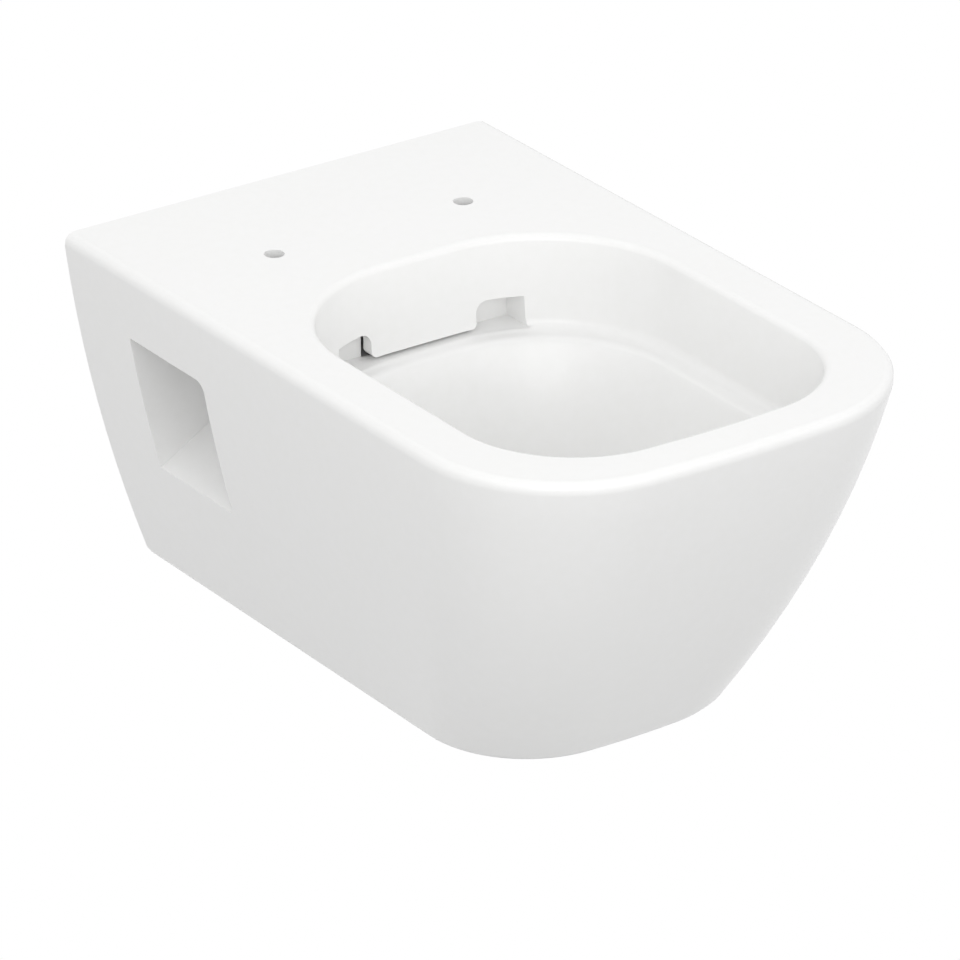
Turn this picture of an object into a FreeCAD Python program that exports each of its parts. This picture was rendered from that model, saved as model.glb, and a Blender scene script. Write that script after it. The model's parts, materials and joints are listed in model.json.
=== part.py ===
"""Wall hung toilet with a rimless bowl, its wall studs, sleeves, nuts and caps.

Frame: millimetres, +Z up, the wall is the plane Y = 0 and the front of the pan points to -Y.
The origin lies on the wall, midway between the two studs.
"""
import FreeCAD, Part
import math
import os
import re

import Sketcher
from FreeCAD import Vector

# Name: (size in mm or degrees, what it measures)
SIZES = {
    # Outer form of the pan
    "deck_width": (352, "width at the deck"),
    "waist_width": (304, "width at half height"),
    "base_width": (223, "width at the base"),
    "deck_length": (539, "length from the wall at the deck"),
    "waist_length": (491, "length from the wall at half height"),
    "base_length": (419, "length from the wall at the base"),
    "pan_height": (260, "height from base to deck"),
    "deck_rise": (85, "height of the deck above the studs"),
    "deck_corner": (110, "front corner radius at the deck"),
    "waist_corner": (95, "front corner radius at half height"),
    "base_corner": (79.5, "front corner radius at the base"),
    "front_lean": (3.5, "turn of the bowed front from the middle to a corner, in degrees"),
    "deck_edge": (9, "rounding of the deck's outer edge"),
    "base_edge": (7, "rounding of the base's edge"),
    # Ceramic thicknesses
    "skin_wall": (10, "outer skin"),
    "deck_wall": (14, "deck"),
    "base_wall": (12, "base"),
    "back_wall": (14, "plate against the wall"),
    "bowl_wall": (10, "bowl"),
    "cell_wall": (8, "side pockets and flush chamber"),
    "boss_wall": (11, "ceramic round a stud hole"),
    # Bowl, from the deck down to the flush ledge
    "mouth_width": (266, "width of the bowl's mouth"),
    "mouth_rear": (168.5, "mouth from the wall"),
    "mouth_front": (499.5, "mouth's front from the wall"),
    "mouth_rear_corner": (104, "mouth's rear corner radius"),
    "mouth_front_corner": (84, "mouth's front corner radius"),
    "rim_edge": (5, "rounding of the mouth's edge"),
    "rear_lean": (6.5, "how far the rear wall leans in down to the ledge"),
    "side_lean": (1, "how far the other walls lean in down to the ledge"),
    "ledge_drop": (67, "ledge below the deck"),
    "ledge_width": (14, "width of the ledge"),
    "ledge_root": (8, "rounding between wall and ledge"),
    "ledge_edge": (6, "rounding of the ledge's edge"),
    # Bowl, from the ledge down to the sump
    "sump_width": (72, "width of the sump's floor"),
    "sump_rear": (236, "sump's floor from the wall"),
    "sump_front": (322, "sump's front from the wall"),
    "side_bulge": (1.25, "exponent of the sides' curve; 1 is straight"),
    "front_bulge": (1.45, "exponent of the front's curve"),
    "rear_bulge": (0.8, "exponent of the rear's curve"),
    "sump_round": (0.92, "corner radius of the sump's floor over half its width"),
    # Trap and waste outlet
    "trap_bore": (52, "bore of the eight-sided trap across its flats"),
    "trap_wall": (8, "wall of the trap and of the spigot"),
    "trap_mouth": (290, "start of the trap's bore inside the sump, from the wall"),
    "dip_place": (215, "bend under the dip, from the wall"),
    "dip_bend": (37, "centre line radius of the bend under the dip"),
    "weir_place": (127, "weir from the wall"),
    "weir_drop": (61, "weir below the studs"),
    "weir_bend": (38, "centre line radius over the weir"),
    "fall_place": (47, "bend into the outlet, from the wall"),
    "fall_bend": (37, "centre line radius of the bend into the outlet"),
    "outlet_drop": (100, "outlet's axis below the studs"),
    "outlet_bore": (86, "bore of the outlet"),
    "outlet_step": (3, "step down from the trap into the outlet's bore"),
    "spigot_setback": (12, "end of the spigot behind the wall plane"),
    "spigot_depth": (66, "bore of the outlet from its end"),
    "spigot_free": (45, "length of the spigot that a connector slides over"),
    "spigot_shoulder": (2, "height of the shoulder behind that length"),
    # Opening in the lower back
    "back_opening_top": (32, "top of the back opening below the studs"),
    # Flush inlet, channel, chamber and lip
    "inlet_rise": (35, "inlet's axis above the studs"),
    "inlet_bore": (55, "bore of the inlet socket"),
    "inlet_depth": (46, "depth of the inlet socket"),
    "channel_bore": (36, "bore of the flush channel"),
    "chamber_rear": (74, "chamber's narrow end from the wall"),
    "chamber_wide": (138, "where the chamber is at its full width, from the wall"),
    "chamber_width": (88, "width of the chamber behind the lip"),
    "chamber_rise": (36, "height of the chamber above the ledge"),
    "lip_wall": (10, "thickness of the lip"),
    "lip_width": (86, "width of the lip between the two side windows"),
    "lip_round": (4, "rounding of the lip's lower corners"),
    "lip_rise": (5, "lip's lower edge above the ledge"),
    "sill_height": (2.5, "sill under the lip and the windows, above the ledge"),
    "window_width": (33, "width of a side window"),
    "window_height": (23.5, "height of a side window above the ledge"),
    "window_reach": (1.5, "depth of a side window past the lip's back"),
    "window_round": (9, "rounding of a window's inner top corner"),
    # Side pockets that give access to the nuts
    "pocket_rear": (69, "pocket's rear wall from the wall"),
    "pocket_front": (158, "pocket's front wall from the wall"),
    "pocket_top": (31, "pocket's ceiling above the studs"),
    "pocket_root": (64, "pocket's inner wall from the middle"),
    "pocket_floor": (23.5, "pocket's floor at its inner wall, below the studs"),
    "pocket_fall": (30.7, "fall of the pocket's floor, in degrees"),
    "pocket_corner": (8, "rounding of the pocket's front upper corner"),
    # Seat hinge holes
    "hinge_spacing": (155, "distance between the seat hinge holes"),
    "hinge_place": (110, "seat hinge holes from the wall"),
    "hinge_bore": (14, "diameter of a seat hinge hole"),
    # Wall fixing
    "stud_spacing": (180, "distance between the studs"),
    "stud_diameter": (12, "diameter of a stud"),
    "stud_in_wall": (60, "stud behind the wall plane"),
    "stud_past_nut": (6, "stud past its nut"),
    "stud_chamfer": (1.5, "chamfer at the stud's ends"),
    "stud_core": (10, "diameter of the stud between its two threads"),
    "thread_in_front": (35, "length of the stud's front thread"),
    "sleeve_diameter": (20, "outer diameter of a sleeve"),
    "sleeve_flange_diameter": (28, "diameter of the sleeve's flange"),
    "sleeve_flange": (2.5, "thickness of the sleeve's flange"),
    "sleeve_setback": (2, "sleeve's end from the wall plane"),
    "washer_diameter": (24, "diameter of a washer"),
    "washer_thickness": (2.5, "thickness of a washer"),
    "nut_flats": (19, "nut across flats"),
    "nut_height": (10, "height of a nut"),
    "cap_wall": (2, "wall of a cap"),
    "cap_bevel": (1.5, "bevel round the cap's end"),
    "cap_headroom": (3, "room between the stud's end and the cap"),
    # Seal
    "pipe_diameter": (45, "flush pipe that the seal takes"),
    "seal_setback": (3, "seal's end from the wall plane"),
    "seal_rib": (1.2, "height of the seal's outer ribs"),
    "seal_rib_width": (4, "width of one rib"),
    "seal_chamfer": (2, "lead-in chamfer of the seal"),
    # Flush distributor
    "ring_length": (18, "length of the distributor's ring"),
    "ring_wall": (2.5, "wall of the ring"),
    "ring_flange": (2, "thickness of the ring's flange"),
    "vane_wall": (2.5, "thickness of the vanes"),
    "vane_start": (4, "start of the vanes inside the ring"),
    "vane_fork": (20, "fork of the vanes from the ring's flange"),
    "vane_angle": (25, "angle of each vane from the middle, in degrees"),
    "vane_length": (60, "length of the forked vanes"),
    # Clearances
    "running_gap": (0.3, "gap between loose pieces"),
    "thread_gap": (0.1, "radial gap between a nut and its stud"),
    "cut_margin": (20, "how far a cut runs out past the solid"),
}

document = FreeCAD.newDocument("WallHungToilet")
sheet = document.addObject("Spreadsheet::Sheet", "Sizes")
for row, (alias, (size, meaning)) in enumerate(SIZES.items(), start=1):
    sheet.set(f"A{row}", meaning)
    sheet.set(f"B{row}", str(size))
    sheet.setAlias(f"B{row}", alias)
document.recompute()


def bound(text):
    """An expression in size names, written the way the document reads it."""
    return re.sub("[a-z_]+", lambda word: ("Sizes." if word[0] in SIZES else "") + word[0], text)


def measure(text):
    """What an expression in size names comes to."""
    return float(sheet.evalExpression(bound(text)))


def bind(feature, sizes):
    """Tie properties of a feature to expressions in size names."""
    for name, text in sizes.items():
        feature.setExpression(name, bound(text))


# ---------------------------------------------------------------- bodies and sketches

def new_body(label):
    body = document.addObject("PartDesign::Body", label)
    body.AllowCompound = True
    return body


def attach(feature, body, plane, offset="0", along="0", up="0"):
    """Lay a feature on one of its body's own planes, moved by expressions in size names."""
    origin_plane = next(item for item in body.Origin.OriginFeatures if item.Role == plane)
    feature.AttachmentSupport = [(origin_plane, "")]
    feature.MapMode = "FlatFace"
    bind(feature, {
        "AttachmentOffset.Base.x": along,
        "AttachmentOffset.Base.y": up,
        "AttachmentOffset.Base.z": offset,
    })


def new_sketch(body, name, plane, offset="0"):
    sketch = body.newObject("Sketcher::SketchObject", name)
    attach(sketch, body, plane, offset)
    return sketch


def constrain(sketch, name, text, kind, *where):
    """Add a dimension to a sketch and tie it to an expression in size names."""
    value = measure(text)
    if kind == "Angle":
        value = math.radians(value)
    index = sketch.addConstraint(Sketcher.Constraint(kind, *where, value))
    sketch.renameConstraint(index, name)
    sketch.setExpression("Constraints." + name, bound(text))


def line(start, end):
    return Part.LineSegment(Vector(*start, 0), Vector(*end, 0))


def arc(centre, radius, start, end):
    """An arc from one angle to another, in degrees, anticlockwise."""
    circle = Part.Circle(Vector(*centre, 0), Vector(0, 0, 1), radius)
    return Part.ArcOfCircle(circle, math.radians(start), math.radians(end))


ORIGIN = (-1, 1)
ACROSS_AXIS = -1
UP_AXIS = -2
START, END, CENTRE = 1, 2, 3


def polygon_sketch(body, name, plane, offset, corners):
    """A closed polygon whose corners are pairs of expressions in size names."""
    sketch = new_sketch(body, name, plane, offset)
    points = [(measure(across), measure(up)) for across, up in corners]
    following = [*range(1, len(points)), 0]
    for index, after in enumerate(following):
        sketch.addGeometry(line(points[index], points[after]))
    for index, after in enumerate(following):
        sketch.addConstraint(Sketcher.Constraint("Coincident", index, END, after, START))
    for index, (across, up) in enumerate(corners):
        place_point(sketch, f"corner_{index}", (index, START), across, up)
    return sketch


def place_point(sketch, name, point, across, up):
    """Fix a point of a sketch at a pair of expressions in size names."""
    for kind, axis, text in (("DistanceX", UP_AXIS, across), ("DistanceY", ACROSS_AXIS, up)):
        value = measure(text)
        if abs(value) < 1e-9:
            sketch.addConstraint(Sketcher.Constraint("PointOnObject", *point, axis))
        elif value > 0:
            constrain(sketch, f"{name}_{kind}", text, kind, *ORIGIN, *point)
        else:
            constrain(sketch, f"{name}_{kind}", f"-({text})", kind, *point, *ORIGIN)


def pan_outline(body, name, height, width, rear, front, front_corner, rear_corner=None):
    """A level section of the pan: straight sides, round front corners and a slightly bowed front.

    Without a rear corner radius the rear corners are sharp. All sizes are expressions in size names.
    """
    sketch = new_sketch(body, name, "XY_Plane", height)
    half = measure(width) / 2
    bow_radius = f"({front_corner}) + (({width}) / 2 - ({front_corner})) / sin(front_lean)"
    back, length, radius, bow = measure(rear), measure(front), measure(front_corner), measure(bow_radius)
    rear_radius = measure(rear_corner) if rear_corner else 0
    lean = measure("front_lean")
    bow_centre = bow - length
    corner_level = bow_centre - (bow - radius) * math.cos(math.radians(lean))
    side_top = -back - rear_radius
    # The outline runs clockwise from the rear edge, seen from above
    sketch.addGeometry(line((-half + rear_radius, -back), (half - rear_radius, -back)))
    rear_edge = 0
    if rear_corner:
        sketch.addGeometry(arc((half - rear_radius, side_top), rear_radius, 0, 90))
    right_side = sketch.addGeometry(line((half, side_top), (half, corner_level)))
    right_corner = sketch.addGeometry(arc((half - radius, corner_level), radius, -90 + lean, 0))
    front_arc = sketch.addGeometry(arc((0, bow_centre), bow, -90 - lean, -90 + lean))
    left_corner = sketch.addGeometry(arc((-half + radius, corner_level), radius, 180, 270 - lean))
    left_side = sketch.addGeometry(line((-half, corner_level), (-half, side_top)))
    if rear_corner:
        left_rear = sketch.addGeometry(arc((-half + rear_radius, side_top), rear_radius, 90, 180))
        tangent(sketch, (rear_edge, END), (rear_edge + 1, END))
        tangent(sketch, (rear_edge + 1, START), (right_side, START))
        tangent(sketch, (left_side, END), (left_rear, END))
        tangent(sketch, (left_rear, START), (rear_edge, START))
        sketch.addConstraint(Sketcher.Constraint("Equal", rear_edge + 1, left_rear))
        constrain(sketch, "rear_corner", rear_corner, "Radius", left_rear)
    else:
        sketch.addConstraint(Sketcher.Constraint("Coincident", rear_edge, END, right_side, START))
        sketch.addConstraint(Sketcher.Constraint("Coincident", left_side, END, rear_edge, START))
    tangent(sketch, (right_side, END), (right_corner, END))
    tangent(sketch, (right_corner, START), (front_arc, END))
    tangent(sketch, (front_arc, START), (left_corner, END))
    tangent(sketch, (left_corner, START), (left_side, START))
    sketch.addConstraint(Sketcher.Constraint("Vertical", right_side))
    sketch.addConstraint(Sketcher.Constraint("Vertical", left_side))
    sketch.addConstraint(Sketcher.Constraint("Symmetric", rear_edge, START, rear_edge, END, UP_AXIS))
    sketch.addConstraint(Sketcher.Constraint("Equal", right_corner, left_corner))
    sketch.addConstraint(Sketcher.Constraint("PointOnObject", front_arc, CENTRE, UP_AXIS))
    constrain(sketch, "half_width", f"({width}) / 2", "DistanceX", *ORIGIN, right_side, START)
    if back > 0:
        constrain(sketch, "rear", rear, "DistanceY", rear_edge, START, *ORIGIN)
    else:
        constrain(sketch, "rear", f"-({rear})", "DistanceY", *ORIGIN, rear_edge, START)
    constrain(sketch, "front_corner", front_corner, "Radius", right_corner)
    constrain(sketch, "bow", bow_radius, "Radius", front_arc)
    constrain(sketch, "bow_centre", f"{bow_radius} - ({front})", "DistanceY", *ORIGIN, front_arc, CENTRE)
    return sketch


FACET_ANGLES = (0, 30, 60, 90)
OUTER_REACH = "/ cos(15)"


def faceted_outline(body, name, height, width, rear, front, front_corner, rear_corner=None, reach=""):
    """A plain level section for surfaces inside the casting, with three straight facets to a corner.

    The facets' ends lie on the corner's arc; with OUTER_REACH, their middles touch it instead.
    """
    right = [(f"({width}) / 2", f"-({rear})")]
    if rear_corner:
        right = [corner_point(width, f"-({rear})", "-", rear_corner, reach, angle)
                 for angle in FACET_ANGLES[::-1]]
    right += [corner_point(width, f"-({front})", "+", front_corner, reach, angle) for angle in FACET_ANGLES]
    left = [(f"-({across})", up) for across, up in reversed(right)]
    return polygon_sketch(body, name, "XY_Plane", height, right + left)


def corner_point(width, end, inwards, radius, reach, angle):
    """A point on a corner's arc; the angle is 0 where the arc meets the side."""
    across = f"({width}) / 2 - ({radius}) + ({radius}) * cos({angle}) {reach}"
    outwards = "+" if inwards == "-" else "-"
    up = f"{end} {inwards} ({radius}) {outwards} ({radius}) * sin({angle}) {reach}"
    return across, up


def tangent(sketch, first, second):
    sketch.addConstraint(Sketcher.Constraint("Tangent", *first, *second))


# ---------------------------------------------------------------- features

def loft(body, kind, name, sections):
    """A loft straight from each section to the next."""
    feature = body.newObject(f"PartDesign::{kind}Loft", name)
    feature.Ruled = True
    feature.Profile = sections[0]
    feature.Sections = sections[1:]
    return feature


def pad(body, name, sketch, length, backwards=False):
    feature = body.newObject("PartDesign::Pad", name)
    feature.Profile = sketch
    feature.Reversed = backwards
    bind(feature, {"Length": length})
    return feature


def pocket(body, name, sketch, length, backwards=True):
    """A pocket that cuts along its sketch's own normal."""
    feature = body.newObject("PartDesign::Pocket", name)
    feature.Profile = sketch
    feature.Reversed = backwards
    bind(feature, {"Length": length})
    return feature


def cylinder(body, kind, name, plane, offset, across, up, radius, length):
    """A cylinder along a plane's normal; on the wall plane that points away from the wall."""
    feature = body.newObject(f"PartDesign::{kind}Cylinder", name)
    attach(feature, body, plane, offset, across, up)
    bind(feature, {"Radius": radius, "Height": length})
    return feature


def trim_edges(body, kind, name, size, wanted):
    """Fillet or chamfer the edges of the body's last feature for which wanted(edge) is true."""
    document.recompute()
    base = body.Tip
    names = [f"Edge{index}" for index, edge in enumerate(base.Shape.Edges, start=1) if wanted(edge)]
    if not names:
        raise ValueError(f"{name} finds no edge")
    feature = body.newObject(f"PartDesign::{kind}", name)
    feature.Base = (base, names)
    bind(feature, {"Radius" if kind == "Fillet" else "Size": size})
    document.recompute()
    return feature


# ---------------------------------------------------------------- the pan's outer form and bowl

LEDGE = "deck_rise - ledge_drop"
SUMP = "deck_rise - pan_height + base_wall"
CHAMBER_FACE = "mouth_rear + rear_lean - lip_wall"
WINDOW_BACK = f"{CHAMBER_FACE} - window_reach"
SILL = f"{LEDGE} + sill_height"


def blend(top, middle, bottom, part):
    """A size on a parabola through three levels; part runs from 0 at the top to 1 at the bottom."""
    return (f"(({top}) * (1 - {part}) * (1 - 2 * {part}) + ({middle}) * 4 * {part} * (1 - {part})"
            f" + ({bottom}) * {part} * (2 * {part} - 1))")


def skin_outline(body, name, drop, inset="0", rear="-cut_margin", draw=pan_outline):
    """A level section of the skin at a drop below the deck, set in from the skin's face."""
    part = f"(({drop}) / pan_height)"
    return draw(body, name, f"deck_rise - ({drop})",
                f"{blend('deck_width', 'waist_width', 'base_width', part)} - 2 * ({inset})", rear,
                f"{blend('deck_length', 'waist_length', 'base_length', part)} - ({inset})",
                f"{blend('deck_corner', 'waist_corner', 'base_corner', part)} - ({inset})")


def mouth_outline(body, name, drop, grow="0"):
    """A level section of the bowl above its ledge, at a drop below the deck."""
    part = f"(({drop}) / ledge_drop)"
    return pan_outline(body, name, f"deck_rise - ({drop})",
                       f"mouth_width - 2 * side_lean * {part} + 2 * ({grow})",
                       f"mouth_rear + rear_lean * {part} - ({grow})",
                       f"mouth_front - side_lean * {part} + ({grow})",
                       f"mouth_front_corner + ({grow})", f"mouth_rear_corner + ({grow})")


LEDGE_HALF = "(mouth_width / 2 - side_lean - ledge_width)"
LEDGE_REAR = "mouth_rear + rear_lean + ledge_width"
LEDGE_FRONT = "mouth_front - side_lean - ledge_width"
BOWL_DEPTH = "(pan_height - base_wall - ledge_drop)"


def bowl_outline(body, name, part, grow="0", sink="0", draw=pan_outline, **options):
    """A level section of the bowl under its ledge; part runs from 0 at the ledge to 1 at its floor."""
    half = f"(sump_width / 2 + ({LEDGE_HALF} - sump_width / 2) * (1 - ({part}) ^ side_bulge))"
    rear = f"sump_rear - (sump_rear - ({LEDGE_REAR})) * (1 - ({part}) ^ rear_bulge)"
    front = f"sump_front + ({LEDGE_FRONT} - sump_front) * (1 - ({part}) ^ front_bulge)"

    def corner(ledge_corner):
        start = f"({ledge_corner}) / {LEDGE_HALF}"
        return f"{half} * (sump_round - (sump_round - {start}) * (1 - ({part})) ^ 3) + ({grow})"
    return draw(body, name, f"{LEDGE} - {BOWL_DEPTH} * ({part}) - ({sink})",
                f"2 * ({half} + ({grow}))", f"{rear} - ({grow})", f"{front} + ({grow})",
                corner("mouth_front_corner - ledge_width"), corner("mouth_rear_corner - ledge_width / 2"),
                **options)


def make_form():
    """The skin with its bowl and side pockets, solid between them.

    Each rounded edge is a stretch of its loft, with sections at even angles round the edge.
    """
    body = new_body("pan_form")
    deck_edge = [skin_outline(body, f"DeckEdge{angle}", f"deck_edge * (1 - cos({angle}))",
                              f"deck_edge * (1 - sin({angle}))") for angle in (0, 30, 60)]
    sides = [skin_outline(body, f"Side{percent}",
                          f"deck_edge + (pan_height - deck_edge - base_edge) * {percent} / 100")
             for percent in range(0, 101, 10)]
    base_edge = [skin_outline(body, f"BaseEdge{angle}", f"pan_height - base_edge * (1 - sin({angle}))",
                              f"base_edge * (1 - cos({angle}))") for angle in (45, 90)]
    loft(body, "Additive", "Skin", deck_edge + sides + base_edge)
    wall_cut = polygon_sketch(body, "WallSide", "XZ_Plane", "-2 * cut_margin", [
        ("-deck_width", "-pan_height"), ("deck_width", "-pan_height"),
        ("deck_width", "pan_height"), ("-deck_width", "pan_height"),
    ])
    pocket(body, "WallFace", wall_cut, "2 * cut_margin")
    ledge_edge = [bowl_outline(body, f"LedgeEdge{angle}", f"ledge_edge * (1 - cos({angle})) / {BOWL_DEPTH}",
                               f"ledge_edge * (1 - sin({angle}))") for angle in (0, 30, 60)]
    bowl = [bowl_outline(body, f"Bowl{percent}", f"{percent} / 100") for percent in range(10, 101, 10)]
    loft(body, "Subtractive", "LowerBowl", ledge_edge + bowl)
    rim_edge = [mouth_outline(body, f"RimEdge{angle}", f"rim_edge * (1 - cos({angle}))",
                              f"rim_edge * (1 - sin({angle}))") for angle in (0, 30, 60)]
    wall = [mouth_outline(body, f"Wall{percent}",
                          f"rim_edge + (ledge_drop - rim_edge - ledge_root) * {percent} / 100")
            for percent in (0, 33, 67, 100)]
    ledge_root = [mouth_outline(body, f"LedgeRoot{angle}", f"ledge_drop - ledge_root * (1 - sin({angle}))",
                                f"-ledge_root * (1 - cos({angle}))") for angle in (30, 60, 90)]
    loft(body, "Subtractive", "UpperBowl", rim_edge + wall + ledge_root)
    for side in (-1, 1):
        side_pocket(body, side)
    cut_hinge_holes(body)
    return body


POCKET_OUT = "deck_width / 2 + cut_margin"


def pocket_profile(side, wall="0"):
    """Corners of a side pocket across the pan, grown by a wall; its floor falls towards the skin."""
    root = f"(pocket_root - ({wall}))"
    floor = f"(pocket_floor + ({wall}) / cos(pocket_fall))"
    drop = f"({POCKET_OUT} - {root}) * tan(pocket_fall)"
    corners = [
        (root, f"pocket_top + ({wall})"),
        (POCKET_OUT, f"pocket_top + ({wall})"),
        (POCKET_OUT, f"-({floor} + {drop})"),
        (root, f"-{floor}"),
    ]
    return [(f"{side} * ({across})", up) for across, up in corners]


def side_pocket(body, side):
    name = "Left" if side < 0 else "Right"
    sketch = polygon_sketch(body, f"{name}PocketProfile", "XZ_Plane", "pocket_rear", pocket_profile(side))
    pocket(body, f"{name}Pocket", sketch, "pocket_front - pocket_rear")
    front, top = -measure("pocket_front"), measure("pocket_top")
    trim_edges(body, "Fillet", f"{name}PocketCorner", "pocket_corner",
               lambda edge: abs(edge.BoundBox.YMin - front) < 0.01 and abs(edge.BoundBox.YMax - front) < 0.01
                and abs(edge.BoundBox.ZMin - top) < 0.01 and abs(edge.BoundBox.ZMax - top) < 0.01
                and side * edge.BoundBox.Center.x > 0)


def cut_hinge_holes(body):
    for side in (-1, 1):
        name = "Left" if side < 0 else "Right"
        cylinder(body, "Subtractive", f"{name}HingeHole", "XY_Plane", "deck_rise - deck_wall - cut_margin",
                 f"{side} * hinge_spacing / 2", "-hinge_place", "hinge_bore / 2",
                 "deck_wall + 2 * cut_margin")


# ---------------------------------------------------------------- the hollow inside the casting

OUTLET_FALL = "outlet_drop + outlet_bore / 2 - trap_bore / 2 - outlet_step"


def trap_path(body):
    """The trap's centre line: level, up a leg, over the weir, down a leg and level again.

    The two legs are the inner tangents of the three bends.
    """
    sketch = new_sketch(body, "TrapPath", "YZ_Plane")
    sump_level = measure(f"{SUMP} + trap_bore / 2")
    outlet_level = -measure(OUTLET_FALL)
    dip, over, fall = measure("dip_bend"), measure("weir_bend"), measure("fall_bend")
    dip_centre = (-measure("dip_place"), sump_level + dip)
    weir_centre = (-measure("weir_place"), measure("trap_bore / 2 - weir_drop") - over)
    fall_centre = (-measure("fall_place"), outlet_level + fall)
    rise = leg_slope(dip_centre, weir_centre, dip + over)
    descent = -leg_slope(weir_centre, fall_centre, over + fall, downwards=True)
    dip_exit = on_circle(dip_centre, dip, rise - 90)
    weir_entry = on_circle(weir_centre, over, rise + 90)
    weir_exit = on_circle(weir_centre, over, 90 - descent)
    fall_entry = on_circle(fall_centre, fall, -90 - descent)
    start = (-measure("trap_mouth"), sump_level)
    end = (-measure("spigot_setback + cut_margin"), outlet_level)
    level_in = sketch.addGeometry(line(start, (dip_centre[0], sump_level)))
    dip_arc = sketch.addGeometry(arc(dip_centre, dip, -90, rise - 90))
    up_leg = sketch.addGeometry(line(dip_exit, weir_entry))
    weir_arc = sketch.addGeometry(arc(weir_centre, over, 90 - descent, rise + 90))
    down_leg = sketch.addGeometry(line(weir_exit, fall_entry))
    fall_arc = sketch.addGeometry(arc(fall_centre, fall, -90 - descent, -90))
    level_out = sketch.addGeometry(line((fall_centre[0], outlet_level), end))
    for first, second in (((level_in, END), (dip_arc, START)), ((dip_arc, END), (up_leg, START)),
                          ((up_leg, END), (weir_arc, END)), ((weir_arc, START), (down_leg, START)),
                          ((down_leg, END), (fall_arc, START)), ((fall_arc, END), (level_out, START))):
        tangent(sketch, first, second)
    sketch.addConstraint(Sketcher.Constraint("Horizontal", level_in))
    sketch.addConstraint(Sketcher.Constraint("Horizontal", level_out))
    place_point(sketch, "start", (level_in, START), "-trap_mouth", f"{SUMP} + trap_bore / 2")
    constrain(sketch, "dip_bend", "dip_bend", "Radius", dip_arc)
    constrain(sketch, "dip_place", "dip_place", "DistanceX", dip_arc, CENTRE, *ORIGIN)
    constrain(sketch, "weir_bend", "weir_bend", "Radius", weir_arc)
    place_point(sketch, "weir", (weir_arc, CENTRE), "-weir_place", "trap_bore / 2 - weir_drop - weir_bend")
    constrain(sketch, "fall_bend", "fall_bend", "Radius", fall_arc)
    constrain(sketch, "fall_place", "fall_place", "DistanceX", fall_arc, CENTRE, *ORIGIN)
    place_point(sketch, "end", (level_out, END), "-(spigot_setback + cut_margin)", f"-({OUTLET_FALL})")
    return sketch


def leg_slope(first, second, both_radii, downwards=False):
    """The slope, in degrees, of the inner tangent of two circles that bend opposite ways."""
    across, up = second[0] - first[0], second[1] - first[1]
    centre_line = math.degrees(math.atan2(up, across))
    turn = math.degrees(math.asin(both_radii / math.hypot(across, up)))
    return centre_line - turn if downwards else centre_line + turn


def on_circle(centre, radius, angle):
    return (centre[0] + radius * math.cos(math.radians(angle)),
            centre[1] + radius * math.sin(math.radians(angle)))


def trap_pipe(body, kind, wall):
    """The trap's eight-sided bore, grown by a wall, along its centre line."""
    path = trap_path(body)
    flat, corner = f"(trap_bore / 2 + ({wall}))", f"(trap_bore / 2 + ({wall})) * tan(22.5)"
    profile = polygon_sketch(body, "TrapSection", "XZ_Plane", "trap_mouth", [
        (f"{across_sign} * {across}", f"{SUMP} + trap_bore / 2 + {up_sign} * {up}")
        for across_sign, across, up_sign, up in (
            (-1, corner, -1, flat), (1, corner, -1, flat), (1, flat, -1, corner), (1, flat, 1, corner),
            (1, corner, 1, flat), (-1, corner, 1, flat), (-1, flat, 1, corner), (-1, flat, -1, corner))
    ])
    document.recompute()
    feature = body.newObject(f"PartDesign::{kind}Pipe", "Trap")
    feature.Profile = profile
    feature.Spine = (path, [f"Edge{index}" for index in range(1, len(path.Shape.Edges) + 1)])
    return feature


def chamber_plan(grow):
    """Corners of the flush chamber seen from above: narrow at the channel, wide behind the lip."""
    narrow = f"(channel_bore / 2 + ({grow}))"
    wide = f"(chamber_width / 2 + ({grow}))"
    rear, shoulder, face = f"-(chamber_rear - ({grow}))", "-chamber_wide", f"-({CHAMBER_FACE} + ({grow}))"
    return [(f"-{narrow}", rear), (narrow, rear), (wide, shoulder), (wide, face), (f"-{wide}", face),
            (f"-{wide}", shoulder)]


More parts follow.
